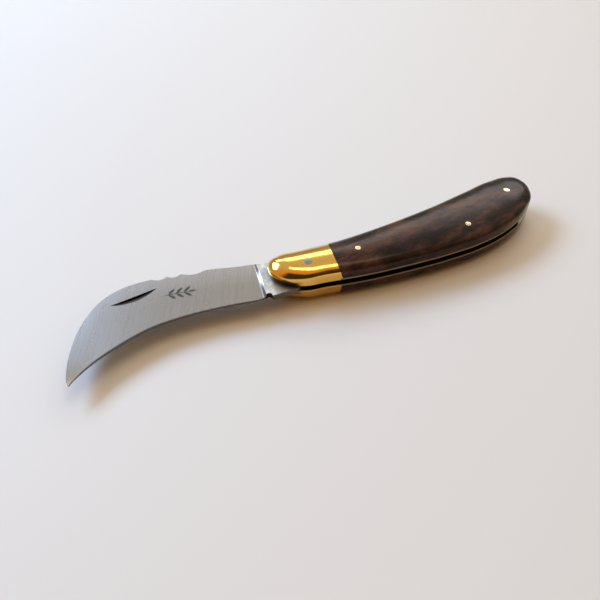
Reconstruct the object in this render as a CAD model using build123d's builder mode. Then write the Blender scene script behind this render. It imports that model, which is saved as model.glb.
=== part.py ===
from build123d import *
import math
import os

os.makedirs("parts", exist_ok=True)

# Folding pruning knife, lying open on its side.
# X runs from the pivot to the butt, +Y is the back (spring) side, +Z is up.
# The origin is the point where the pivot axis meets the surface the knife lies on.

# driving dimensions, millimetres
half_thick = 6.83        # mid-plane to the crown line of a scale
lapped = 0.08            # taken off each crown so that the knife lies flat
slot = 2.2               # gap between the liners
liner_t = 0.65           # brass liner sheet
blade_t = 2.14           # blade blank, 0.03 free on each side of the slot
rim_r = 3.3              # rounding between crown and side wall
crown_r = 28.0           # cross-section radius of the crowned handle faces
pivot_r = 1.45           # steel pivot
pivot_clear = 0.03       # running clearance in the tang
butt_pin_r = 1.2
scale_pin_r = 1.0
hidden_pin_r = 1.0
cam_r = 4.30             # round part of the tang under the spring
cam_flat = 4.18          # flats for the open and closed positions
spring_face = 4.36       # spring nose above the pivot axis
closed_deg = 176.0       # blade swing from open to folded
edge_t = 0.22            # thickness left at the cutting edge
tip_t = 0.9              # spine thickness at the point

mid_z = half_thick - lapped
z_slot_hi = mid_z + slot / 2
z_slot_lo = mid_z - slot / 2
z_liner_hi = z_slot_hi + liner_t
z_liner_lo = z_slot_lo - liner_t
z_top = 2 * mid_z
wood_t = z_top - z_liner_hi

# half-round notch between the heel of the edge and the tang
choil = (-15.95, -4.1)
choil_r = 1.1

# nail nick
nick_a = (-64.4, 13.7)
nick_b = (-48.6, 15.2)
nick_depth = 0.6
nick_bow = 2.2           # width of the crescent at its middle
nick_z = mid_z + 0.70    # blade face under the nick

# handle outline, nose to butt along the back and home along the belly
handle_pts = [
    (-12.45, 3.9), (-10.9, 8.55), (-7.2, 9.75), (0.0, 9.05), (12.0, 7.95),
    (26.0, 7.72), (40.0, 8.15), (55.0, 9.5), (70.0, 11.65), (85.0, 13.75),
    (91.2, 13.65), (95.9, 11.4), (97.2, 7.0), (95.1, 0.5), (87.0, -6.05),
    (76.0, -10.5), (62.1, -12.75), (49.2, -12.72), (31.5, -11.3), (15.2, -9.05),
    (4.9, -6.85), (-4.2, -4.9), (-10.2, -1.0),
]

# seam between bolster and scale, slightly raked
seam_a = (12.9, 16.0)
seam_b = (7.1, -16.0)
seam_lean = -0.30        # run towards the nose per millimetre of height

# pin positions
pin_front = (18.4, -1.2)
pin_rear = (60.4, -6.4)
pin_butt = (85.9, 4.15)
pin_hidden = (41.0, 6.35)

# the crown line of a cheek is an arc about this centre
crown_centre = (37.2, 178.7)
crown_arc = 182.0

# inner edge of the back spring, from the nose to the butt block
spring_in = [
    (4.2, spring_face), (5.4, 4.56), (6.6, 4.76), (8.4, 4.52), (11.5, 4.15),
    (15.2, 3.70), (19.0, 3.60), (25.0, 3.85), (36.0, 4.55), (50.0, 5.40),
    (62.0, 6.75), (72.0, 8.1), (78.5, 9.1), (82.2, 9.25), (83.75, 7.9),
    (84.0, 4.5), (83.95, 0.0), (83.7, -4.0),
]

# spine of the ground blade, plunge line to point
spine_pts = [
    (-13.9, 11.7), (-21.0, 13.45), (-30.1, 16.2), (-38.8, 17.85), (-43.4, 18.78),
    (-48.7, 19.68), (-54.0, 20.1), (-58.2, 19.95), (-62.4, 18.95), (-67.0, 16.7),
    (-70.5, 13.8), (-73.0, 11.0), (-75.2, 8.2), (-76.9, 5.4), (-78.4, 2.5),
    (-79.7, -0.5), (-80.9, -3.4), (-81.8, -6.2), (-82.4, -9.0), (-82.7, -11.0),
    (-82.55, -12.35),
]

# cutting edge, plunge line to point
edge_pts = [
    (-16.6, -3.75), (-19.7, -3.95), (-25.0, -3.0), (-31.0, -1.98), (-37.5, -1.15),
    (-44.0, -0.72), (-50.0, -0.72), (-55.5, -1.2), (-61.0, -2.45), (-66.0, -3.95),
    (-70.5, -5.5), (-74.0, -7.0), (-77.2, -8.75), (-79.6, -10.25), (-81.4, -11.55),
    (-82.35, -12.55),
]


def unit(v):
    size = math.hypot(v[0], v[1])
    return (v[0] / size, v[1] / size)


def tangents_of(pts):
    """Tangent at each point of a closed run, from its two neighbours."""
    out = []
    for i, b in enumerate(pts):
        a, c = pts[i - 1], pts[(i + 1) % len(pts)]
        d1, d2 = (b[0] - a[0], b[1] - a[1]), (c[0] - b[0], c[1] - b[1])
        l1, l2 = math.hypot(*d1), math.hypot(*d2)
        out.append(unit((d1[0] * l2 / l1 + d2[0] * l1 / l2, d1[1] * l2 / l1 + d2[1] * l1 / l2)))
    return out


def joint_of(p0, t0, p1, t1):
    """Point where two arcs with equal tangent lengths meet."""
    v = (p1[0] - p0[0], p1[1] - p0[1])
    vt = v[0] * (t0[0] + t1[0]) + v[1] * (t0[1] + t1[1])
    vv = v[0] ** 2 + v[1] ** 2
    den = 2 * (1 - (t0[0] * t1[0] + t0[1] * t1[1]))
    d = vv / (2 * vt) if abs(den) < 1e-9 else (-vt + math.sqrt(vt * vt + den * vv)) / den
    return ((p0[0] + d * t0[0] + p1[0] - d * t1[0]) / 2, (p0[1] + d * t0[1] + p1[1] - d * t1[1]) / 2)


# handle face, shared by every layer: tangent arcs all the way round
handle_tan = tangents_of(handle_pts)
with BuildSketch() as outline:
    with BuildLine():
        for i, p0 in enumerate(handle_pts):
            p1 = handle_pts[(i + 1) % len(handle_pts)]
            t0, t1 = handle_tan[i], handle_tan[(i + 1) % len(handle_pts)]
            mid = joint_of(p0, t0, p1, t1)
            first = TangentArc(p0, mid, tangent=t0)
            TangentArc(mid, p1, tangent=first % 1)
    make_face()

# everything behind the seam, as a leaning block over the upper cheek
seam_low = -seam_lean * (wood_t / 2 + 1)
with BuildPart() as rear_block:
    with BuildSketch(Plane.XY.offset(z_liner_hi - 1)):
        with BuildLine():
            Polyline((seam_a[0] + seam_low, seam_a[1]), (120, 16), (120, -16),
                     (seam_b[0] + seam_low, seam_b[1]), close=True)
        make_face()
    extrude(amount=wood_t + 2, dir=(seam_lean, 0, 1))

# crowned bar that both the cheek and its pins are finished to
with BuildPart() as crown_bar:
    with BuildSketch(Plane(origin=(crown_centre[0], crown_centre[1], 0), x_dir=(1, 0, 0), z_dir=(0, -1, 0))):
        with Locations((crown_arc, mid_z + half_thick - crown_r)):
            Circle(crown_r)
    revolve(axis=Axis((crown_centre[0], crown_centre[1], 0), (0, 0, 1)))

# one rounded cheek of the handle; the other is its mirror image
with BuildPart() as cheek:
    with BuildSketch(Plane.XY.offset(z_liner_hi)):
        add(outline.sketch)
    extrude(amount=wood_t)
    fillet(cheek.faces().sort_by(Axis.Z)[-1].edges(), rim_r)
    add(crown_bar.part, mode=Mode.INTERSECT)

# ---------------------------------------------------------------- bolsters
with BuildPart() as bolster_upper:
    add(cheek.part)
    add(rear_block.part, mode=Mode.SUBTRACT)
    with BuildSketch(Plane.XY.offset(z_liner_hi - 1)):
        Circle(pivot_r)
    extrude(amount=wood_t + 2, mode=Mode.SUBTRACT)
bolster_upper.part.label = "bolster_upper"
export_step(bolster_upper.part, "parts/bolster_upper.step")

with BuildPart() as bolster_lower:
    add(bolster_upper.part)
    mirror(about=Plane.XY.offset(mid_z), mode=Mode.REPLACE)
bolster_lower.part.label = "bolster_lower"
export_step(bolster_lower.part, "parts/bolster_lower.step")

# ---------------------------------------------------------------- wooden scales
with BuildPart() as scale_upper:
    add(cheek.part)
    add(rear_block.part, mode=Mode.INTERSECT)
    with BuildSketch(Plane.XY.offset(z_liner_hi - 1)):
        with Locations(pin_front, pin_rear):
            Circle(scale_pin_r)
        with Locations(pin_butt):
            Circle(butt_pin_r)
    extrude(amount=wood_t + 2, mode=Mode.SUBTRACT)
scale_upper.part.label = "scale_upper"
export_step(scale_upper.part, "parts/scale_upper.step")

with BuildPart() as scale_lower:
    add(scale_upper.part)
    mirror(about=Plane.XY.offset(mid_z), mode=Mode.REPLACE)
scale_lower.part.label = "scale_lower"
export_step(scale_lower.part, "parts/scale_lower.step")

# ---------------------------------------------------------------- liners
with BuildPart() as liner_upper:
    with BuildSketch(Plane.XY.offset(z_slot_hi)):
        add(outline.sketch)
        Circle(pivot_r, mode=Mode.SUBTRACT)
        with Locations(pin_front, pin_rear):
            Circle(scale_pin_r, mode=Mode.SUBTRACT)
        with Locations(pin_hidden):
            Circle(hidden_pin_r, mode=Mode.SUBTRACT)
        with Locations(pin_butt):
            Circle(butt_pin_r, mode=Mode.SUBTRACT)
    extrude(amount=liner_t)
liner_upper.part.label = "liner_upper"
export_step(liner_upper.part, "parts/liner_upper.step")

with BuildPart() as liner_lower:
    add(liner_upper.part)
    mirror(about=Plane.XY.offset(mid_z), mode=Mode.REPLACE)
liner_lower.part.label = "liner_lower"
export_step(liner_lower.part, "parts/liner_lower.step")

# ---------------------------------------------------------------- back spring
with BuildPart() as back_spring:
    with BuildSketch(Plane.XY.offset(z_slot_lo)):
        with BuildLine():
            nose = Line((-5.9, spring_face), spring_in[0])
            inner = Spline(*spring_in, tangents=((1, 0), (-0.05, -1)))
            Polyline(inner @ 1, (83.6, -20), (120, -20), (120, 30), (-5.9, 30), (-5.9, spring_face))
        make_face()
        add(outline.sketch, mode=Mode.INTERSECT)
        with Locations(pin_hidden):
            Circle(hidden_pin_r, mode=Mode.SUBTRACT)
        with Locations(pin_butt):
            Circle(butt_pin_r, mode=Mode.SUBTRACT)
    extrude(amount=slot)
back_spring.part.label = "back_spring"
export_step(back_spring.part, "parts/back_spring.step")

# ---------------------------------------------------------------- pins
with BuildPart() as pivot_pin:
    with BuildSketch(Plane.XY.offset(mid_z)):
        Circle(pivot_r)
    extrude(amount=mid_z)
    add(crown_bar.part, mode=Mode.INTERSECT)
    mirror(about=Plane.XY.offset(mid_z))
pivot_pin.part.label = "pivot_pin"
export_step(pivot_pin.part, "parts/pivot_pin.step")

with BuildPart() as butt_pin:
    with BuildSketch(Plane.XY.offset(mid_z)):
        with Locations(pin_butt):
            Circle(butt_pin_r)
    extrude(amount=mid_z)
    add(crown_bar.part, mode=Mode.INTERSECT)
    mirror(about=Plane.XY.offset(mid_z))
butt_pin.part.label = "butt_pin"
export_step(butt_pin.part, "parts/butt_pin.step")

# riveted through liners and spring, covered by the scales
with BuildPart() as spring_pin:
    with BuildSketch(Plane.XY.offset(z_liner_lo)):
        with Locations(pin_hidden):
            Circle(hidden_pin_r)
    extrude(amount=z_liner_hi - z_liner_lo)
spring_pin.part.label = "spring_pin"
export_step(spring_pin.part, "parts/spring_pin.step")

# four short rivets, two on each side, that hold a scale to its liner
with BuildPart() as scale_pins:
    with BuildSketch(Plane.XY.offset(z_slot_hi)):
        with Locations(pin_front, pin_rear):
            Circle(scale_pin_r)
    extrude(amount=z_top - z_slot_hi)
    add(crown_bar.part, mode=Mode.INTERSECT)
    mirror(about=Plane.XY.offset(mid_z))
scale_pins.part.label = "scale_pins"
export_step(scale_pins.part, "parts/scale_pins.step")

# ---------------------------------------------------------------- blade
# flat-ground part: quadrilateral sections fanned from the plunge line to the point
spine_curve = Spline(*spine_pts)
edge_curve = Spline(*edge_pts)
stations = [0.012, 0.07, 0.14, 0.21, 0.28, 0.35, 0.42, 0.49, 0.56, 0.63,
            0.70, 0.77, 0.84, 0.90, 0.95, 0.985, 0.997]


def section(u):
    """Corner data of one blade section at arc fraction u."""
    a = spine_curve @ u
    b = edge_curve @ u
    width = (b - a).length
    spine_t = blade_t + (tip_t - blade_t) * u ** 1.6
    spine_t = min(spine_t, edge_t + width * 0.35)
    return a, b, width, spine_t


with BuildPart() as ground:
    for u in stations:
        a, b, width, spine_t = section(u)
        with BuildSketch(Plane(origin=(a.X, a.Y, mid_z), x_dir=(b.X - a.X, b.Y - a.Y, 0),
                               z_dir=(b.Y - a.Y, -(b.X - a.X), 0))):
            with BuildLine():
                Polyline((0, spine_t / 2), (width, edge_t / 2), (width, -edge_t / 2),
                         (0, -spine_t / 2), close=True)
            make_face()
    loft()

# short plunge from the full-thickness ricasso down to the ground faces
with BuildPart() as plunge:
    for u in (0.0, stations[0]):
        a, b, width, spine_t = section(u)
        heel = blade_t if u == 0.0 else edge_t
        with BuildSketch(Plane(origin=(a.X, a.Y, mid_z), x_dir=(b.X - a.X, b.Y - a.Y, 0),
                               z_dir=(b.Y - a.Y, -(b.X - a.X), 0))):
            with BuildLine():
                Polyline((0, spine_t / 2), (width, heel / 2), (width, -heel / 2),
                         (0, -spine_t / 2), close=True)
            make_face()
    loft(ruled=True)

nick_mid = ((nick_a[0] + nick_b[0]) / 2, (nick_a[1] + nick_b[1]) / 2)
nick_len = math.hypot(nick_b[0] - nick_a[0], nick_b[1] - nick_a[1])
nick_dir = unit((nick_b[0] - nick_a[0], nick_b[1] - nick_a[1]))
nick_r = (nick_len ** 2 / 4 + nick_depth ** 2) / (2 * nick_depth)

cam_a = math.radians(-125.0)   # where the tang's lower edge leaves the cam
cam_b = math.radians(99.0)    # where the cam meets the shoulder
fl = math.radians(closed_deg)
with BuildPart() as blade:
    with BuildSketch(Plane.XY.offset(mid_z - blade_t / 2)):
        with BuildLine():
            Polyline(
                (cam_r * math.cos(cam_b), cam_r * math.sin(cam_b)),
                (-6.0, 4.25), (-6.0, 9.55), (-9.3, 10.55), (-13.9, 11.7),
                (-16.6, -3.75), (-16.4, -4.5), (-15.3, -4.6), (-13.6, -4.76), (-11.2, -4.82),
                (-7.9, -4.95), (-6.0, -5.05),
                (cam_r * math.cos(cam_a), cam_r * math.sin(cam_a)),
            )
            ThreePointArc(
                (cam_r * math.cos(cam_a), cam_r * math.sin(cam_a)), (cam_r, 0),
                (cam_r * math.cos(cam_b), cam_r * math.sin(cam_b)),
            )
        make_face()
        # open flat on the back, closed flat on the belly
        with Locations((0, cam_flat + 1)):
            Rectangle(5, 2, mode=Mode.SUBTRACT)
        with Locations(Location(((cam_flat + 1) * math.sin(fl), (cam_flat + 1) * math.cos(fl)), -closed_deg)):
            Rectangle(5, 2, mode=Mode.SUBTRACT)
        Circle(pivot_r + pivot_clear, mode=Mode.SUBTRACT)
    extrude(amount=blade_t)
    add(plunge.part)
    add(ground.part)
    # choil notch, through the tang and the heel of the plunge
    with BuildSketch(Plane.XY):
        with Locations(choil):
            Circle(choil_r)
        # three scallops filed in the spine
        with Locations((-45.95, 21.95)):
            Circle(3.6)
        with Locations((-41.15, 20.85)):
            Circle(3.3)
        with Locations((-33.9, 23.6)):
            Circle(7.55)
    extrude(amount=z_top, mode=Mode.SUBTRACT)
    # nail nick in the upper face: steep wall on the spine side, long run-out below
    with Locations(Plane(origin=(nick_mid[0], nick_mid[1], nick_z + nick_r - nick_depth),
                         x_dir=(nick_dir[0], nick_dir[1], 0), z_dir=(nick_dir[1], -nick_dir[0], 0))):
        Cone(bottom_radius=nick_r, top_radius=nick_r - 4 * nick_depth / nick_bow, height=4,
             align=(Align.CENTER, Align.CENTER, Align.MIN), mode=Mode.SUBTRACT)
blade.part.label = "blade"
export_step(blade.part, "parts/blade.step")
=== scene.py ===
import bpy, bmesh, math
from mathutils import Vector, Matrix


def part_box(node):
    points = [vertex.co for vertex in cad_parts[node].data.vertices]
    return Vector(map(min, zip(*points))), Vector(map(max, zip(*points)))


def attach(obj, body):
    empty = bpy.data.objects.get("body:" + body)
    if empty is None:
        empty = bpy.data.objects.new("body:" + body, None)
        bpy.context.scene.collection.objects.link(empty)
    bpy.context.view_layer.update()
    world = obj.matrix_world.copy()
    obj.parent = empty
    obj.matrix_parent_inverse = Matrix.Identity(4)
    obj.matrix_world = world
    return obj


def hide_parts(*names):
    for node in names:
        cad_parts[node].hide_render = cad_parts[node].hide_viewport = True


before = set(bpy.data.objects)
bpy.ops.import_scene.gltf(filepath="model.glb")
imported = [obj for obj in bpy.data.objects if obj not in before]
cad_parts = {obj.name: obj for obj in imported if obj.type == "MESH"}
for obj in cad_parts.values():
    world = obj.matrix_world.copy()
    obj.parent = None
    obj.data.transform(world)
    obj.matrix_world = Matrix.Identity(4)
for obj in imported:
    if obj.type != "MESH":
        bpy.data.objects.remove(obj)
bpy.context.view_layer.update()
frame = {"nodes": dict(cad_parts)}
nodes = frame["nodes"]
MM = 0.001
HALF = nodes and (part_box("pivot_pin")[1][2] / 2)      # mid-plane height


NICK_A, NICK_B, NICK_BOW = (-64.4, 13.7), (-48.6, 15.2), 2.2
SPRIG = (-42.6, 10.1)                                # middle of the etched sprig


# ------------------------------------------------------------------ node helpers
class Mat:
    def __init__(self, name):
        self.m = bpy.data.materials.new(name)
        self.m.use_nodes = True
        self.t = self.m.node_tree
        self.n = self.t.nodes
        self.b = self.n["Principled BSDF"]

    def node(self, kind, **kw):
        x = self.n.new(kind)
        for k, v in kw.items():
            setattr(x, k, v)
        return x

    def link(self, a, b):
        self.t.links.new(a, b)

    def set(self, **kw):
        for k, v in kw.items():
            self.b.inputs[k.replace("_", " ")].default_value = v

    def coords(self, scale=(1, 1, 1), rot=(0, 0, 0), loc=(0, 0, 0), src=None):
        """Object position, turned first and stretched after."""
        if src is None:
            src = self.node("ShaderNodeTexCoord").outputs["Object"]
        a = self.node("ShaderNodeMapping")
        a.inputs["Rotation"].default_value = rot
        self.link(src, a.inputs["Vector"])
        mp = self.node("ShaderNodeMapping")
        mp.inputs["Scale"].default_value = scale
        mp.inputs["Location"].default_value = loc
        self.link(a.outputs["Vector"], mp.inputs["Vector"])
        return mp.outputs["Vector"]

    def math(self, op, a, b=None, c=None):
        x = self.node("ShaderNodeMath", operation=op)
        for i, v in enumerate((a, b, c)):
            if v is None:
                continue
            if isinstance(v, (int, float)):
                x.inputs[i].default_value = v
            else:
                self.link(v, x.inputs[i])
        return x.outputs[0]

    def xyz(self):
        """Object position in millimetres, split."""
        c = self.node("ShaderNodeTexCoord")
        p = self.node("ShaderNodeSeparateXYZ")
        self.link(c.outputs["Object"], p.inputs[0])
        return [self.math("MULTIPLY", p.outputs[k], 1000.0) for k in range(3)]

    def facing(self):
        """1 on faces square to the blade plane, 0 on edges and walls."""
        g = self.node("ShaderNodeNewGeometry")
        p = self.node("ShaderNodeSeparateXYZ")
        self.link(g.outputs["True Normal"], p.inputs[0])
        return self.step(self.math("ABSOLUTE", p.outputs[2]), 0.45, 0.75)

    def step(self, v, e0, e1):
        x = self.node("ShaderNodeMapRange", interpolation_type="SMOOTHSTEP")
        x.inputs["From Min"].default_value = e0
        x.inputs["From Max"].default_value = e1
        self.link(v, x.inputs["Value"])
        return x.outputs["Result"]

    def noise(self, vec, scale, detail=4, rough=0.5, dist=0.0):
        x = self.node("ShaderNodeTexNoise")
        x.inputs["Scale"].default_value = scale
        x.inputs["Detail"].default_value = detail
        x.inputs["Roughness"].default_value = rough
        x.inputs["Distortion"].default_value = dist
        self.link(vec, x.inputs["Vector"])
        return x.outputs["Fac"]

    def ramp(self, fac, stops, interp="LINEAR"):
        r = self.node("ShaderNodeValToRGB")
        r.color_ramp.interpolation = interp
        e = r.color_ramp.elements
        while len(e) < len(stops):
            e.new(0.5)
        for k, (p, c) in enumerate(stops):
            e[k].position = p
            e[k].color = c if len(c) == 4 else (*c, 1)
        self.link(fac, r.inputs["Fac"])
        return r.outputs["Color"]

    def mix(self, fac, a, b, mode="MIX"):
        x = self.node("ShaderNodeMix", data_type="RGBA", blend_type=mode)
        for sock, v in (("Factor", fac), ("A", a), ("B", b)):
            s = [q for q in x.inputs if q.name == sock and q.enabled and (sock == "Factor" or q.type == "RGBA")]
            s = s[0]
            if isinstance(v, (int, float)):
                s.default_value = v
            elif isinstance(v, tuple):
                s.default_value = (*v, 1) if len(v) == 3 else v
            else:
                self.link(v, s)
        return [o for o in x.outputs if o.type == "RGBA"][0]

    def map_range(self, v, a, b, c, d):
        x = self.node("ShaderNodeMapRange")
        for k, q in zip(("From Min", "From Max", "To Min", "To Max"), (a, b, c, d)):
            x.inputs[k].default_value = q
        self.link(v, x.inputs["Value"])
        return x.outputs["Result"]

    def bump(self, h, strength, dist, base=None):
        x = self.node("ShaderNodeBump")
        x.inputs["Strength"].default_value = strength
        x.inputs["Distance"].default_value = dist
        self.link(h, x.inputs["Height"])
        if base:
            self.link(base, x.inputs["Normal"])
        return x.outputs["Normal"]

    def finish(self, color=None, rough=None, normal=None):
        for v, k in ((color, "Base Color"), (rough, "Roughness"), (normal, "Normal")):
            if v is not None:
                self.link(v, self.b.inputs[k])
        return self.m


def srgb(r, g, b):
    def f(c):
        c /= 255
        return c / 12.92 if c <= 0.04045 else ((c + 0.055) / 1.055) ** 2.4
    return (f(r), f(g), f(b))


# ------------------------------------------------------------------ materials
def make_blade_steel():
    m = Mat("blade_steel")
    m.set(Metallic=1.0)
    x, y, z = m.xyz()
    up = m.math("ABSOLUTE", m.math("SUBTRACT", z, HALF / MM))      # height from the blade's mid-plane
    # distance from the plunge line, positive on the tang side
    side = m.math("ADD", m.math("MULTIPLY", x, 0.985), m.math("MULTIPLY_ADD", y, -0.172, 15.72))
    tang = m.step(side, -0.05, 0.25)
    fan = math.radians(25.0)
    fine = m.noise(m.coords(scale=(1500, 30, 120), rot=(0, 0, fan)), 1.0, 2, 0.5)
    mid = m.noise(m.coords(scale=(900, 22, 60), rot=(0, 0, fan)), 1.0, 3, 0.5)
    soft = m.noise(m.coords(scale=(160, 90, 60)), 1.0, 3, 0.5)
    cloud = m.noise(m.coords(scale=(420, 300, 60)), 1.0, 3, 0.55)
    grind = m.mix(m.map_range(fine, 0.3, 0.7, 0, 1), (0.350, 0.338, 0.336), (0.375, 0.363, 0.361))
    grind = m.mix(m.map_range(mid, 0.3, 0.7, 0, 0.14), grind, (0.30, 0.292, 0.29))
    # painted sheen: lighter bluish grey towards the spine
    grind = m.mix(m.math("MULTIPLY", m.step(up, 0.45, 1.10), 0.55), grind, (0.54, 0.54, 0.575))
    # two painted highlights along the plunge, with a painted shade strip between them
    plunge_highlight = m.math("MAXIMUM", m.math("MULTIPLY", m.step(side, -0.24, -0.10), m.step(side, 0.26, 0.10)),
                  m.math("MULTIPLY", m.step(side, -1.26, -1.10), m.step(side, -0.84, -0.98)))
    plunge_shade = m.math("MULTIPLY", m.step(side, -1.15, -1.0), m.step(side, 0.1, -0.1))
    bright = m.mix(m.map_range(cloud, 0.38, 0.62, 0, 1), (0.40, 0.43, 0.48), (0.68, 0.72, 0.79))
    bright = m.mix(m.step(side, 2.0, 5.5), bright, (0.36, 0.39, 0.44))
    col = m.mix(tang, grind, bright)
    col = m.mix(plunge_shade, col, (0.22, 0.215, 0.22))
    col = m.mix(plunge_highlight, col, (0.74, 0.735, 0.76))
    rough = m.mix(tang, m.map_range(mid, 0.25, 0.75, 0.26, 0.295), m.map_range(soft, 0.3, 0.7, 0.26, 0.34))
    # edges and walls are darker and brownish, and rougher; the part inside the handle gets painted shade further
    # down
    face = m.facing()
    col = m.mix(face, m.mix(m.map_range(soft, 0.3, 0.7, 0, 1), (0.20, 0.17, 0.145), (0.11, 0.09, 0.075)), col)
    rough = m.mix(face, (0.38, 0.38, 0.38), rough)
    # honed strip along the cutting edge, coloured dark as a painted dark reflection
    hone_dark_reflection = m.math("MULTIPLY", m.step(up, 0.145, 0.132), m.step(side, -0.3, -0.9))
    col = m.mix(hone_dark_reflection, col, (0.085, 0.075, 0.065))
    # nail nick: painted shade in a lens below its straight upper edge, darkest along that edge
    nx, ny = (NICK_B[0] - NICK_A[0]), (NICK_B[1] - NICK_A[1])
    nl = math.hypot(nx, ny)
    nx, ny = nx / nl, ny / nl
    cx, cy = (NICK_A[0] + NICK_B[0]) / 2, (NICK_A[1] + NICK_B[1]) / 2
    along = m.math("DIVIDE", m.math("ADD", m.math("MULTIPLY", x, nx), m.math("MULTIPLY_ADD", y, ny, -(cx * nx + cy * ny))), nl / 2)
    down = m.math("ADD", m.math("MULTIPLY", x, ny), m.math("MULTIPLY_ADD", y, -nx, -(cx * ny - cy * nx)))
    lens = m.math("SUBTRACT", m.math("MULTIPLY", m.math("SUBTRACT", 1.0, m.math("MULTIPLY", along, along)), NICK_BOW), down)
    nick = m.math("MULTIPLY", m.math("MULTIPLY", m.step(down, -0.12, 0.02), m.step(lens, -0.1, 0.25)), m.step(z, HALF / MM, HALF / MM + 0.1))
    shade_ = m.mix(m.step(m.math("DIVIDE", down, NICK_BOW), 0.15, 0.95), (0.035, 0.032, 0.035), (0.13, 0.12, 0.12))
    col = m.mix(nick, col, shade_)
    # small etched leaf sprig between the nick and the heel
    def leaf(s, lean, half, width):
        a = math.radians(-10.0 + lean)
        px = SPRIG[0] + s * math.cos(math.radians(-10.0)) + (half * 1.05 * math.cos(a) if lean else 0.0)
        py = SPRIG[1] + s * math.sin(math.radians(-10.0)) + (half * 1.05 * math.sin(a) if lean else 0.0)
        ca, sa = math.cos(a), math.sin(a)
        u = m.math("MULTIPLY_ADD", x, ca / half, m.math("MULTIPLY_ADD", y, sa / half, -(px * ca + py * sa) / half))
        v = m.math("ABSOLUTE", m.math("MULTIPLY_ADD", x, -sa, m.math("MULTIPLY_ADD", y, ca, px * sa - py * ca)))
        edge = m.math("SUBTRACT", m.math("MULTIPLY", m.math("SUBTRACT", 1.0, m.math("MULTIPLY", u, u)), width), v)
        return m.step(edge, -0.02, 0.04)

    sprig = leaf(-0.6, 0.0, 5.6, 0.20)
    for s in (-3.4, -0.8, 1.8):
        for lean in (42.0, -42.0):
            sprig = m.math("MAXIMUM", sprig, leaf(s, lean, 1.65, 0.52))
    sprig = m.math("MAXIMUM", sprig, leaf(4.6, 0.0, 1.5, 0.46))
    sprig = m.math("MULTIPLY", sprig, m.math("MULTIPLY", m.step(z, HALF / MM, HALF / MM + 0.1), 0.82))
    col = m.mix(sprig, col, (0.045, 0.045, 0.05))
    # the notch and the part inside the handle get painted shade, a near-black colour
    nd = m.math("ADD", m.math("POWER", m.math("ADD", x, 15.95), 2.0), m.math("POWER", m.math("ADD", y, 4.1), 2.0))
    notch_shade = m.math("MULTIPLY", m.step(nd, 1.75, 1.5), m.math("SUBTRACT", 1.0, face))
    notch_and_slot_shade = m.math("MAXIMUM", m.step(x, -5.6, -4.9), notch_shade)
    col = m.mix(notch_and_slot_shade, col, (0.03, 0.026, 0.024))
    rough = m.mix(notch_and_slot_shade, rough, (0.5, 0.5, 0.5))
    nrm = m.bump(m.math("MULTIPLY", fine, m.math("SUBTRACT", 1.0, m.math("MULTIPLY", tang, 0.85))), 0.03, 0.00005)
    return m.finish(col, rough, nrm)


def make_brass(name, base, rough, scratch, rear_painted_shade=None, dull_rough=0.3, nose_foot_shade=False):
    """Polished brass; behind the seam, where only the sheet edge shows, it can be rougher and take a darker colour
    as painted shade.
    """
    m = Mat(name)
    m.set(Metallic=1.0)
    blotch = m.noise(m.coords(scale=(420, 420, 420)), 0.35, 4, 0.55)
    hair = m.noise(m.coords(scale=(500, 6000, 6000), rot=(0, 0, math.radians(12))), 1.0, 3, 0.6)
    dark = tuple(c * 0.88 for c in base)
    col = m.mix(m.map_range(blotch, 0.35, 0.7, 0, 1), base, dark)
    r = m.map_range(blotch, 0.3, 0.7, rough, rough * 1.5)
    if nose_foot_shade:
        # painted shade: darker brass low on the wall round the nose
        x, y, z = m.xyz()
        up = m.math("ABSOLUTE", m.math("SUBTRACT", z, HALF / MM))
        low = m.math("MULTIPLY", m.step(x, -3.6, -7.0), m.step(up, 2.95, 2.35))
        col = m.mix(low, col, (0.10, 0.065, 0.022))
        r = m.mix(low, r, (0.35, 0.35, 0.35))
    if rear_painted_shade:
        x, y, z = m.xyz()
        back = m.step(m.math("MULTIPLY_ADD", y, -0.18, x), 9.7, 10.3)
        col = m.mix(back, col, rear_painted_shade)
        r = m.mix(back, r, (dull_rough, dull_rough, dull_rough))
        # painted shade round the nose and on the faces inside the slot
        nose = m.step(x, -3.6, -7.0)
        col = m.mix(nose, col, (0.10, 0.065, 0.022))
        r = m.mix(nose, r, (0.40, 0.40, 0.40))
        face = m.facing()
        col = m.mix(face, col, (0.05, 0.035, 0.015))
        r = m.mix(face, r, (0.55, 0.55, 0.55))
    nrm = m.bump(hair, scratch, 0.00002)
    return m.finish(col, r, nrm)


def make_steel(name, base, rough):
    m = Mat(name)
    m.set(Metallic=1.0)
    fine = m.noise(m.coords(scale=(260, 3800, 3800)), 1.0, 4, 0.6)
    col = m.mix(m.map_range(fine, 0.3, 0.7, 0, 1), tuple(c * 0.9 for c in base), base)
    return m.finish(col, m.map_range(fine, 0.3, 0.7, rough * 0.9, rough * 1.2), m.bump(fine, 0.12, 0.00003))


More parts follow.
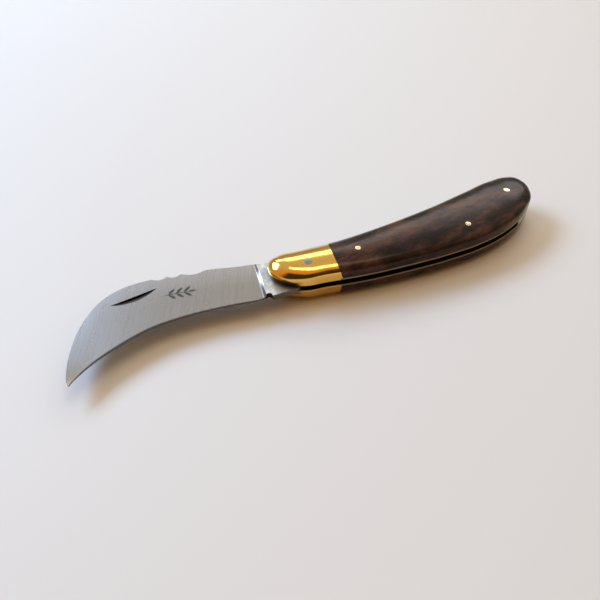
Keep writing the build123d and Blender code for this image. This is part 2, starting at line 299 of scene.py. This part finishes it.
def make_wood():
    m = Mat("dark_wood")
    m.set(Specular_IOR_Level=0.18, Specular_Tint=(1.0, 0.80, 0.82, 1.0))
    turn = (0, 0, math.radians(-4))
    warp = m.noise(m.coords(scale=(45, 90, 90)), 1.0, 3, 0.5)
    c = m.node("ShaderNodeTexCoord")
    add = m.node("ShaderNodeVectorMath", operation="MULTIPLY_ADD")
    w3 = m.node("ShaderNodeCombineXYZ")
    m.link(warp, w3.inputs["Y"])
    m.link(warp, w3.inputs["Z"])
    m.link(w3.outputs[0], add.inputs[0])
    add.inputs[1].default_value = (0, 0.009, 0.007)
    m.link(c.outputs["Object"], add.inputs[2])

    def layer(scale, detail, rough, loc=(0, 0, 0)):
        return m.noise(m.coords(scale, turn, loc, add.outputs[0]), 1.0, detail, rough)

    broad = layer((58, 150, 150), 3, 0.5)
    streak = layer((120, 360, 360), 4, 0.6, (3.1, 1.7, 0.4))
    pores = layer((210, 3400, 3400), 3, 0.6)
    tone = m.node("ShaderNodeMath", operation="MULTIPLY_ADD")
    m.link(streak, tone.inputs[0])
    tone.inputs[1].default_value = 0.55
    b2 = m.node("ShaderNodeMath", operation="MULTIPLY")
    m.link(broad, b2.inputs[0])
    b2.inputs[1].default_value = 0.45
    m.link(b2.outputs[0], tone.inputs[2])
    col = m.ramp(tone.outputs[0], [(0.0, (0.007, 0.005, 0.0045)), (0.43, (0.014, 0.009, 0.0075)),
                                   (0.50, (0.034, 0.018, 0.012)), (0.57, (0.078, 0.034, 0.021)), (0.70, (0.10, 0.045, 0.028))])
    col = m.mix(m.map_range(pores, 0.55, 0.72, 0, 0.6), col, (0.004, 0.003, 0.002))
    rough = m.map_range(pores, 0.3, 0.7, 0.14, 0.23)
    return m.finish(col, rough, m.bump(pores, 0.25, 0.00005))


M = {
    "blade": make_blade_steel(),
    "bolster": make_brass("bolster_brass", (0.89, 0.555, 0.12), 0.10, 0.10, nose_foot_shade=True),
    # the lower bolster is a darker copy of the bolster brass as painted shade
    "bolster_shaded_copy": make_brass("bolster_brass_shaded_copy", (0.62, 0.37, 0.105), 0.12, 0.10, nose_foot_shade=True),
    "liner": make_brass("liner_brass", (0.87, 0.57, 0.15), 0.12, 0.15, (0.26, 0.20, 0.105), 0.30),
    "pin": make_brass("pin_brass", (0.90, 0.76, 0.46), 0.18, 0.1),
    "spring": make_steel("spring_steel", (0.5, 0.49, 0.48), 0.3),
    "pivot": make_steel("pivot_steel", (0.26, 0.27, 0.295), 0.27),
    "wood": make_wood(),
}
for node, mat in {
    "blade": "blade", "bolster_upper": "bolster", "bolster_lower": "bolster_shaded_copy",
    "liner_upper": "liner", "liner_lower": "liner", "scale_upper": "wood", "scale_lower": "wood",
    "back_spring": "spring", "pivot_pin": "pivot", "butt_pin": "pin", "scale_pins": "pin", "spring_pin": "spring",
}.items():
    o = nodes[node]
    for s in o.material_slots:
        s.material = M[mat]
    if not o.material_slots:
        o.data.materials.append(M[mat])


# ------------------------------------------------------------------ handle shape
# outline of the handle in millimetres, nose to butt along the back and home along the belly
HANDLE = [
    (-12.45, 3.9), (-10.9, 8.55), (-7.2, 9.75), (0.0, 9.05), (12.0, 7.95),
    (26.0, 7.72), (40.0, 8.15), (55.0, 9.5), (70.0, 11.65), (85.0, 13.75),
    (91.2, 13.65), (95.9, 11.4), (97.2, 7.0), (95.1, 0.5), (87.0, -6.05),
    (76.0, -10.5), (62.1, -12.75), (49.2, -12.72), (31.5, -11.3), (15.2, -9.05),
    (4.9, -6.85), (-4.2, -4.9), (-10.2, -1.0),
]
CROWN_C, CROWN_R = (37.2, 178.7), 182.0      # the crown line is an arc
Z_MID = HALF / MM
Z_FACE = Z_MID + 1.75                        # outer face of a liner
Z_TOP = 2 * Z_MID
SEAM_A, SEAM_B = (12.9, 16.0), (7.1, -16.0)


def outline_points(step=0.12):
    """The outline as tangent arcs through HANDLE, sampled evenly."""
    n = len(HANDLE)
    tan = []
    for i in range(n):
        a, b, c = HANDLE[i - 1], HANDLE[i], HANDLE[(i + 1) % n]
        d1, d2 = (b[0] - a[0], b[1] - a[1]), (c[0] - b[0], c[1] - b[1])
        l1, l2 = math.hypot(*d1), math.hypot(*d2)
        v = (d1[0] * l2 / l1 + d2[0] * l1 / l2, d1[1] * l2 / l1 + d2[1] * l1 / l2)
        q = math.hypot(*v)
        tan.append((v[0] / q, v[1] / q))
    pts = []

    def arc(p0, t0, p1):
        c = (p1[0] - p0[0], p1[1] - p0[1])
        L = math.hypot(*c)
        phi = math.atan2(t0[0] * c[1] - t0[1] * c[0], t0[0] * c[0] + t0[1] * c[1])
        k = max(2, int(L / step))
        for j in range(k):
            f = j / k
            r = L * (math.sin(f * phi) / math.sin(phi) if abs(phi) > 1e-7 else f)
            ca, sa = math.cos(f * phi), math.sin(f * phi)
            pts.append((p0[0] + r * (t0[0] * ca - t0[1] * sa), p0[1] + r * (t0[0] * sa + t0[1] * ca)))
        return (t0[0] * math.cos(2 * phi) - t0[1] * math.sin(2 * phi), t0[0] * math.sin(2 * phi) + t0[1] * math.cos(2 * phi))

    for i in range(n):
        p0, p1 = HANDLE[i], HANDLE[(i + 1) % n]
        t0, t1 = tan[i], tan[(i + 1) % n]
        v = (p1[0] - p0[0], p1[1] - p0[1])
        vt = v[0] * (t0[0] + t1[0]) + v[1] * (t0[1] + t1[1])
        vv = v[0] ** 2 + v[1] ** 2
        den = 2 * (1 - (t0[0] * t1[0] + t0[1] * t1[1]))
        d = vv / (2 * vt) if abs(den) < 1e-9 else (-vt + math.sqrt(vt * vt + den * vv)) / den
        mid = ((p0[0] + d * t0[0] + p1[0] - d * t1[0]) / 2, (p0[1] + d * t0[1] + p1[1] - d * t1[1]) / 2)
        arc(mid, arc(p0, t0, mid), p1)
    return pts


def angle_of(p):
    """Angle of a point about the crown centre; grows towards the butt."""
    return math.atan2(p[0] - CROWN_C[0], CROWN_C[1] - p[1])


def ridge(a):
    return (CROWN_C[0] + CROWN_R * math.sin(a), CROWN_C[1] - CROWN_R * math.cos(a))


OUT = outline_points()
A0 = math.asin((-5.2 - CROWN_C[0]) / CROWN_R)      # ridge ends near the nose
A1 = math.asin((90.2 - CROWN_C[0]) / CROWN_R)      # and near the butt


def smooth(e0, e1, x):
    t = min(1.0, max(0.0, (x - e0) / (e1 - e0)))
    return t * t * (3 - 2 * t)


def side_runs():
    """Outline split into back, butt, belly and nose runs at the two ridge ends."""
    ang = [angle_of(p) for p in OUT]
    n = len(OUT)
    i_nose = min(range(n), key=lambda i: ang[i])
    i_butt = max(range(n), key=lambda i: ang[i])
    order = [(i_nose + k) % n for k in range(n + 1)]
    cut = order.index(i_butt, 1)
    back = [OUT[i] for i in order[:cut + 1]]             # nose tip to butt tip along the back
    belly = [OUT[i] for i in order[cut:]][::-1]          # nose tip to butt tip along the belly
    return back, belly


BACK, BELLY = side_runs()


def at_angle(run, a):
    """Where the run crosses the ray at angle a (the angle grows along the run)."""
    lo, hi = 0, len(run) - 1
    while hi - lo > 1:
        m = (lo + hi) // 2
        if angle_of(run[m]) <= a:
            lo = m
        else:
            hi = m
    a0, a1 = angle_of(run[lo]), angle_of(run[hi])
    f = 0 if a1 == a0 else min(1, max(0, (a - a0) / (a1 - a0)))
    return (run[lo][0] + f * (run[hi][0] - run[lo][0]), run[lo][1] + f * (run[hi][1] - run[lo][1])), lo


def wall_of(p, side):
    """Height of the upright part of the rim above the liner."""
    x = p[0]
    base = 1.3 if side == "back" else 2.15
    nose = 0.8
    t = 1 - smooth(-11.5, 1.0, x)
    butt = smooth(88.0, 97.0, x)
    base = base * (1 - t) + nose * t
    return base * (1 - butt) + 1.6 * butt


def power_of(p, side):
    x = p[0]
    full = smooth(13.0, 48.0, x)             # the wood is fuller towards the back edge
    n = 2.05 + 0.95 * full if side == "back" else 2.25 + 0.25 * full
    t = 1 - smooth(-11.0, 2.0, x)
    butt = smooth(86.0, 96.0, x)
    n = n * (1 - t) + 2.15 * t
    return n * (1 - butt) + 2.8 * butt


def loop_samples(m=150, k_butt=46, k_nose=46):
    """(outline point, ridge index, side) all the way round."""
    out = []
    angs = [A0 + (A1 - A0) * j / m for j in range(m + 1)]
    for j, a in enumerate(angs):
        out.append((at_angle(BACK, a)[0], j, "back"))

    def fan(p0, p1, run_pts, j, sides, k):
        L = [0.0]
        for u, v in zip(run_pts, run_pts[1:]):
            L.append(L[-1] + math.dist(u, v))
        for q in range(1, k):
            t = L[-1] * q / k
            i = max(i for i in range(len(L)) if L[i] <= t)
            i = min(i, len(L) - 2)
            f = (t - L[i]) / (L[i + 1] - L[i])
            u, v = run_pts[i], run_pts[i + 1]
            out.append(((u[0] + f * (v[0] - u[0]), u[1] + f * (v[1] - u[1])), j, (sides, q / k)))

    pb, ib = at_angle(BACK, A1)
    pe, ie = at_angle(BELLY, A1)
    fan(pb, pe, [pb] + BACK[ib + 1:] + BELLY[ie + 1:][::-1][1:] + [pe], m, "bb", k_butt)
    for j in range(m, -1, -1):
        out.append((at_angle(BELLY, angs[j])[0], j, "belly"))
    pb, ib = at_angle(BACK, A0)
    pe, ie = at_angle(BELLY, A0)
    fan(pe, pb, [pe] + BELLY[:ie + 1][::-1] + BACK[1:ib + 1] + [pb], 0, "ba", k_nose)
    return out, angs


def blend_of(fn, p, side):
    if isinstance(side, str):
        return fn(p, side)
    kind, f = side
    a, b = (("back", "belly") if kind == "bb" else ("belly", "back"))
    t = smooth(0, 1, f)
    return fn(p, a) * (1 - t) + fn(p, b) * t


def crown_height(a):
    """Height of the crown line above the liner face."""
    x = ridge(a)[0]
    h = Z_TOP - Z_FACE
    return h - 0.25 * (1 - smooth(-6.0, 6.0, x)) - 0.25 * smooth(82.0, 92.0, x)


SAMPLES, ANGS = loop_samples()


def height_at(x, y):
    """Height of the finished cheek over a point, in millimetres above the floor."""
    a = min(A1, max(A0, angle_of((x, y))))
    r = ridge(a)
    side = "back" if y > r[1] else "belly"
    p = at_angle(BACK if side == "back" else BELLY, a)[0]
    h = math.dist((x, y), r) / math.dist(p, r)
    wall, n, H = wall_of(p, side), power_of(p, side), crown_height(a)
    return Z_FACE + wall + (H - wall) * (1 - min(1, h) ** n) ** (1 / n)


def cheek(name, part, low, mat, node, body, holes, rows=22):
    """One rounded cheek piece: dome over the outline, upright rim, flat underside, cut at the seam."""
    bm = bmesh.new()
    ridge_v = [bm.verts.new((*ridge(a), Z_FACE + crown_height(a))) for a in ANGS]
    rings = []
    for (p, j, side) in SAMPLES:
        r = ridge(ANGS[j])
        wall, n, H = blend_of(wall_of, p, side), blend_of(power_of, p, side), crown_height(ANGS[j])
        col = [bm.verts.new((p[0], p[1], Z_FACE)), bm.verts.new((p[0], p[1], Z_FACE + wall * 0.5))]
        for q in range(rows):
            f = q / rows
            phi = f * math.pi / 2
            h = math.cos(phi) ** (2 / n)
            v = math.sin(phi) ** (2 / n) if q else 0.0
            col.append(bm.verts.new((r[0] + (p[0] - r[0]) * h, r[1] + (p[1] - r[1]) * h, Z_FACE + wall + (H - wall) * v)))
        col.append(ridge_v[j])
        rings.append(col)
    cnt = len(rings)
    for i in range(cnt):
        a, b = rings[i], rings[(i + 1) % cnt]
        for q in range(len(a) - 1):
            quad = [a[q], a[q + 1], b[q + 1], b[q]]
            if quad[1] is quad[2]:
                quad = [a[q], a[q + 1], b[q]]
            bm.faces.new(quad)
    bm.faces.new([c[0] for c in rings])
    # cut at the seam
    d = Vector((SEAM_B[0] - SEAM_A[0], SEAM_B[1] - SEAM_A[1], 0)).normalized()
    nrm = Vector((-d.y, d.x, 0))            # points to the butt
    if part == "front":
        nrm = -nrm
    nrm.z = 0.30 * nrm.x                    # and leans towards the nose as it rises
    bmesh.ops.bisect_plane(bm, geom=bm.verts[:] + bm.edges[:] + bm.faces[:], dist=1e-5,
                           plane_co=(SEAM_A[0], SEAM_A[1], Z_FACE + 2.5), plane_no=-nrm, clear_outer=True)
    bmesh.ops.holes_fill(bm, edges=[e for e in bm.edges if e.is_boundary], sides=0)
    for v in bm.verts:
        z = v.co.z if not low else 2 * Z_MID - v.co.z
        v.co = Vector((v.co.x, v.co.y, z)) * MM
    bmesh.ops.recalc_face_normals(bm, faces=bm.faces)
    me = bpy.data.meshes.new(name)
    bm.to_mesh(me)
    bm.free()
    o = bpy.data.objects.new(name, me)
    bpy.context.collection.objects.link(o)
    # pin holes
    if holes:
        cb = bmesh.new()
        for (hx, hy, hr) in holes:
            ring = bmesh.ops.create_circle(cb, cap_ends=True, radius=hr * MM, segments=64)
            vs = ring["verts"]
            for v in vs:
                v.co += Vector((hx, hy, -3.0)) * MM
            face = [f for f in vs[0].link_faces][0]
            ext = bmesh.ops.extrude_face_region(cb, geom=[face])
            for g in ext["geom"]:
                if isinstance(g, bmesh.types.BMVert):
                    g.co.z += 0.022
        bmesh.ops.recalc_face_normals(cb, faces=cb.faces)
        cm = bpy.data.meshes.new("cutter")
        cb.to_mesh(cm)
        cb.free()
        co = bpy.data.objects.new("cutter", cm)
        bpy.context.collection.objects.link(co)
        md = o.modifiers.new("holes", "BOOLEAN")
        md.operation = "DIFFERENCE"
        md.solver = "EXACT"
        md.object = co
        dg = bpy.context.evaluated_depsgraph_get()
        new = bpy.data.meshes.new_from_object(o.evaluated_get(dg))
        o.modifiers.clear()
        o.data = new
        bpy.data.objects.remove(co)
    shade(o, 32)
    o.data.materials.clear()
    o.data.materials.append(mat)
    o.name = name
    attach(o, body)
    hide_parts(node)
    return o


def shade(o, deg):
    bm = bmesh.new()
    bm.from_mesh(o.data)
    lim = math.radians(deg)
    for f in bm.faces:
        f.smooth = True
    for e in bm.edges:
        e.smooth = len(e.link_faces) == 2 and e.calc_face_angle(0) < lim
    bm.to_mesh(o.data)
    bm.free()


def pins(name, spots, mat, node, inner=None):
    """Peened pins: a shaft that follows the cheek surface at each end, with a low crown and a rounded edge."""
    bm = bmesh.new()
    seg = 48
    for (px, py, r, sides) in spots:
        for (z0, z1) in sides:
            cols = []
            for k in range(seg):
                a = 2 * math.pi * k / seg
                c, s = math.cos(a), math.sin(a)
                col = []
                for end, z in ((0, z0), (1, z1)):
                    ring = []
                    for (f, lift) in ((0.35, 0.055), (0.70, 0.045), (0.90, 0.03), (0.975, 0.012), (1.0, -0.02)):
                        x, y = px + r * f * c, py + r * f * s
                        if z in ("top", "bottom"):
                            h = height_at(x, y) + lift
                            h = min(h, Z_TOP - 0.001)
                            zz = h if z == "top" else 2 * Z_MID - h
                        else:
                            zz = z
                        ring.append(bm.verts.new((x, y, zz)))
                    col.append(ring)
                cols.append(col)
            tips = []
            for end, z in ((0, z0), (1, z1)):
                if z in ("top", "bottom"):
                    h = min(height_at(px, py) + 0.058, Z_TOP - 0.001)
                    zz = h if z == "top" else 2 * Z_MID - h
                else:
                    zz = z
                tips.append(bm.verts.new((px, py, zz)))
            for k in range(seg):
                A, B = cols[k], cols[(k + 1) % seg]
                for end in (0, 1):
                    bm.faces.new([tips[end], A[end][0], B[end][0]])
                    for q in range(4):
                        bm.faces.new([A[end][q], A[end][q + 1], B[end][q + 1], B[end][q]])
                bm.faces.new([A[0][4], A[1][4], B[1][4], B[0][4]])
    bmesh.ops.recalc_face_normals(bm, faces=bm.faces)
    for v in bm.verts:
        v.co *= MM
    me = bpy.data.meshes.new(name)
    bm.to_mesh(me)
    bm.free()
    o = bpy.data.objects.new(name, me)
    bpy.context.collection.objects.link(o)
    shade(o, 40)
    o.data.materials.append(mat)
    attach(o, "handle")
    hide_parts(node)
    return o


PIVOT, FRONT, REAR, BUTT = (0.0, 0.0, 1.45), (18.4, -1.2, 1.0), (60.4, -6.4, 1.0), (85.9, 4.15, 1.2)
GAP = 0.012
for low, tag in ((False, "upper"), (True, "lower")):
    cheek("look_bolster_" + tag, "front", low, M["bolster_shaded_copy" if low else "bolster"], "bolster_" + tag, "handle",
          [(PIVOT[0], PIVOT[1], PIVOT[2] + GAP)])
    cheek("look_scale_" + tag, "rear", low, M["wood"], "scale_" + tag, "handle",
          [(x, y, r + GAP) for (x, y, r) in (FRONT, REAR, BUTT)])
pins("look_pivot_pin", [(*PIVOT, [("bottom", "top")])], M["pivot"], "pivot_pin")
pins("look_butt_pin", [(*BUTT, [("bottom", "top")])], M["pin"], "butt_pin")
pins("look_scale_pins", [(*FRONT, [(Z_MID + 1.1, "top"), ("bottom", Z_MID - 1.1)]),
                         (*REAR, [(Z_MID + 1.1, "top"), ("bottom", Z_MID - 1.1)])], M["pin"], "scale_pins")

# ------------------------------------------------------------------ stage
fm = Mat("floor")
fm.set(Roughness=0.55, Specular_IOR_Level=0.3)
fm.b.inputs["Base Color"].default_value = (0.785, 0.79, 0.785, 1)
me = bpy.data.meshes.new("floor")
S = 3.0
me.from_pydata([(-S, -S, 0), (S, -S, 0), (S, S, 0), (-S, S, 0)], [], [(0, 1, 2, 3)])
floor = bpy.data.objects.new("floor", me)
floor.data.materials.append(fm.m)
floor.location.z = -0.00002
bpy.context.collection.objects.link(floor)

# ------------------------------------------------------------------ camera
YAW = math.radians(25.169)      # handle line against the picture's horizontal
PITCH = math.radians(46.0)
DIST = 0.19685
PIV = Vector((2.634, 11.566, 0)) * MM   # pivot in the camera's ground frame


def to_row(v, point=True):
    """Ground frame (x right, y away, z up, from the mid-plane) to the row frame."""
    v = Vector(v)
    if point:
        v = v - PIV
    c, s = math.cos(-YAW), math.sin(-YAW)
    z = v.z + (HALF if point else 0)
    return Vector((v.x * c - v.y * s, v.x * s + v.y * c, z))


cam_data = bpy.data.cameras.new("camera")
cam_data.sensor_width = 36
cam_data.lens = 36
cam_data.clip_start = 0.01
cam_data.clip_end = 20
cam = bpy.data.objects.new("camera", cam_data)
bpy.context.collection.objects.link(cam)
fwd = to_row((0, math.cos(PITCH), -math.sin(PITCH)), False)
cam.location = to_row(Vector((0, -math.cos(PITCH), math.sin(PITCH))) * DIST)
up = to_row((0, math.sin(PITCH), math.cos(PITCH)), False)
right = fwd.cross(up).normalized()
cam.rotation_mode = "QUATERNION"
cam.rotation_quaternion = Matrix((right, up, -fwd)).transposed().to_quaternion()
bpy.context.scene.camera = cam


# ------------------------------------------------------------------ light
def area(name, pos, target, size, power, color, size_y=None):
    d = bpy.data.lights.new(name, "AREA")
    d.shape = "RECTANGLE"
    d.size = size
    d.size_y = size_y or size
    d.energy = power
    d.color = color
    o = bpy.data.objects.new(name, d)
    o.location = to_row(pos)
    o.rotation_mode = "QUATERNION"
    o.rotation_quaternion = (to_row(target) - to_row(pos)).to_track_quat("-Z", "Y")
    bpy.context.collection.objects.link(o)
    return o


KEY_AZ, KEY_EL, KEY_D = math.radians(60), math.radians(37), 1.15
area("window_left", (-KEY_D * math.cos(KEY_EL) * math.sin(KEY_AZ), KEY_D * math.cos(KEY_EL) * math.cos(KEY_AZ), KEY_D * math.sin(KEY_EL)),
     (0, 0, 0), 0.74, 8.0, (0.67, 1.0, 1.48), 0.38)
area("window_back", (0.10, 1.29, 0.776), (0, 0, 0), 1.6, 4.6, (1.0, 0.98, 0.92), 0.29)
area("ceiling_lamp", (0.11, 0.26, 1.05), (0, 0, 0), 0.62, 1.6, (1.0, 0.86, 0.60), 0.18)

# room around the object, fixed in the row frame
AWAY = to_row((0, 1, 0), False)
w = bpy.data.worlds.new("world")
bpy.context.scene.world = w
w.use_nodes = True
wt = w.node_tree
bg = wt.nodes["Background"]


def wmath(op, a, b=None, c=None):
    x = wt.nodes.new("ShaderNodeMath")
    x.operation = op
    for i, v in enumerate((a, b, c)):
        if v is None:
            continue
        if isinstance(v, (int, float)):
            x.inputs[i].default_value = v
        else:
            wt.links.new(v, x.inputs[i])
    return x.outputs[0]


def wstep(e0, e1, v):
    x = wt.nodes.new("ShaderNodeMapRange")
    x.interpolation_type = "SMOOTHSTEP"
    x.inputs["From Min"].default_value = e0
    x.inputs["From Max"].default_value = e1
    wt.links.new(v, x.inputs["Value"])
    return x.outputs["Result"]


def wmix(f, a, b):
    x = wt.nodes.new("ShaderNodeMix")
    x.data_type = "RGBA"
    ins = [q for q in x.inputs if q.enabled]
    wt.links.new(f, ins[0])
    for sock, v in ((ins[1], a), (ins[2], b)):
        if isinstance(v, tuple):
            sock.default_value = (*v, 1)
        else:
            wt.links.new(v, sock)
    return [q for q in x.outputs if q.enabled][0]


tc = wt.nodes.new("ShaderNodeTexCoord")
dot = wt.nodes.new("ShaderNodeVectorMath")
dot.operation = "DOT_PRODUCT"
wt.links.new(tc.outputs["Generated"], dot.inputs[0])
dot.inputs[1].default_value = AWAY
sep = wt.nodes.new("ShaderNodeSeparateXYZ")
wt.links.new(tc.outputs["Generated"], sep.inputs[0])
zdir = sep.outputs["Z"]
flat = wmath("SQRT", wmath("MAXIMUM", wmath("SUBTRACT", 1.0, wmath("MULTIPLY", zdir, zdir)), 0.0004))
azim = wmath("DIVIDE", dot.outputs["Value"], flat)
rear = wt.nodes.new("ShaderNodeValToRGB")
els = rear.color_ramp.elements
stops = [(0.0, (0.36, 0.36, 0.27)), (0.42, (0.42, 0.41, 0.32)), (0.62, (0.64, 0.605, 0.55)), (0.72, (0.66, 0.62, 0.56)), (1.0, (0.62, 0.55, 0.44))]
while len(els) < len(stops):
    els.new(0.5)
for k, (p, c) in enumerate(stops):
    els[k].position = p
    els[k].color = (*c, 1)
wt.links.new(zdir, rear.inputs["Fac"])
col = wmix(wstep(-0.25, 0.45, azim), (0.74, 0.375, 0.13), rear.outputs["Color"])
dark = wmath("MULTIPLY", wstep(-0.45, -0.85, azim), wstep(0.97, 0.86, zdir))
col = wmix(dark, col, (0.055, 0.035, 0.018))
wt.links.new(col, bg.inputs["Color"])
bg.inputs["Strength"].default_value = 1.0

scn = bpy.context.scene
scn.view_settings.view_transform = "Standard"
